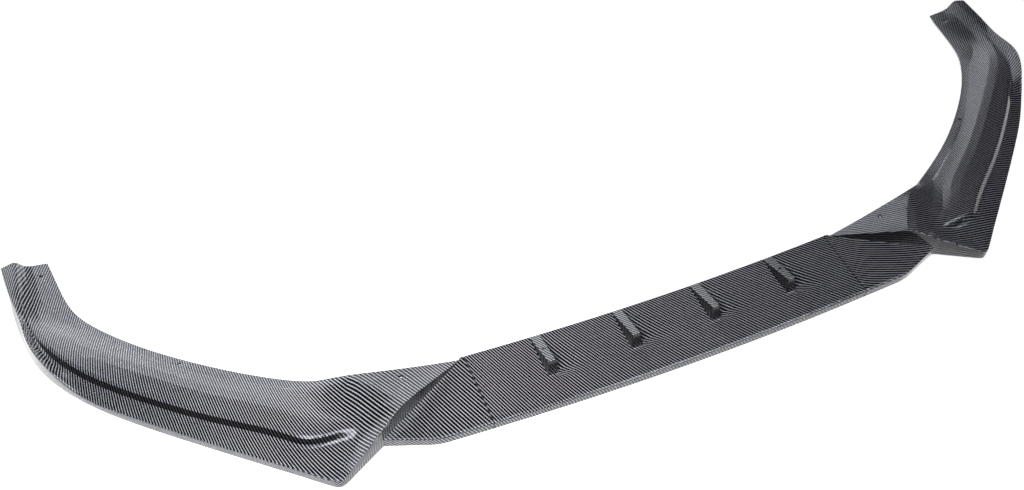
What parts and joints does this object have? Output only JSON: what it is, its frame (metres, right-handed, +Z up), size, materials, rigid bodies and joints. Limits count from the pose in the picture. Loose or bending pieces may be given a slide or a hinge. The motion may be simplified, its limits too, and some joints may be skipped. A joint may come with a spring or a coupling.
{
  "type": "front splitter lip",
  "caption": "Wide bowed front splitter lip: a flat middle panel with upright fins, lapped to two swept end sections with wedge corners, stepped crowns and upturned rear tips.",
  "frame": {"origin": "centre of the overall box in plan, at its base", "axes": "+X across the car to the lip's right-hand end as seen from above with the front at -Y, +Y to the rear of the car, +Z up"},
  "size_m": [1.7524, 0.5366, 0.047],
  "materials": {
    "twill_gloss": "printed dark and light twill stripes under a gloss clear coat",
    "screw_steel": "zinc plated"
  },
  "bodies": {
    "root": {"center_panel": "twill_gloss", "right_end": "twill_gloss", "left_end": "twill_gloss", "lap_screws": "screw_steel"}
  },
  "joints": []
}
